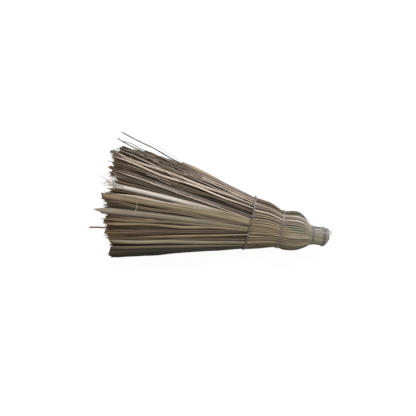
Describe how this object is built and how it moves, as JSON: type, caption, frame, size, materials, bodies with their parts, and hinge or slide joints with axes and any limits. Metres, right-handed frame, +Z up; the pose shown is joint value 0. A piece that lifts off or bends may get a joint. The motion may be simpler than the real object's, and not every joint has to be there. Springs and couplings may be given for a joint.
{
  "type": "grass broom",
  "caption": "Handleless grass broom: dry leaves bound with wire into a narrow neck, a round bulge and a wide flat fan, lying on its back.",
  "frame": {"origin": "centre of the broom's bounding box, on the surface that it lies on", "axes": "+X along the broom from the tips to the neck's cut end, +Y across the fan, +Z up through its thickness"},
  "size_m": [0.592, 0.3086, 0.0742],
  "materials": {
    "straw": "matte",
    "core_straw": "matte",
    "tie_wire": "satin",
    "pale_leaf": "matte",
    "tan_leaf": "matte",
    "green_leaf": "matte",
    "bright_leaf": "matte",
    "reddish_stem": "matte",
    "dark_stem": "matte"
  },
  "bodies": {
    "root": {"front_hand_1": "straw", "front_hand_2": "straw", "front_hand_3": "straw", "front_hand_4": "straw", "front_hand_5": "straw", "front_hand_6": "straw", "back_hand_1": "straw", "back_hand_2": "straw", "back_hand_3": "straw", "back_hand_4": "straw", "back_hand_5": "straw", "back_hand_6": "straw", "core_bundle_1": "core_straw", "core_bundle_2": "core_straw", "core_bundle_3": "core_straw", "shoulder_wire": "tie_wire", "waist_wire": "tie_wire", "neck_wire": "tie_wire", "end_wire": "tie_wire", "pale_curled_leaf": "pale_leaf", "tan_cut_leaf": "tan_leaf", "grey_green_leaf": "green_leaf", "long_tan_leaf": "tan_leaf", "bright_strip_leaf_1": "bright_leaf", "bright_strip_leaf_2": "bright_leaf", "reddish_stem": "reddish_stem", "dark_wisp": "dark_stem", "second_wisp": "dark_stem", "third_wisp": "dark_stem"}
  },
  "joints": []
}
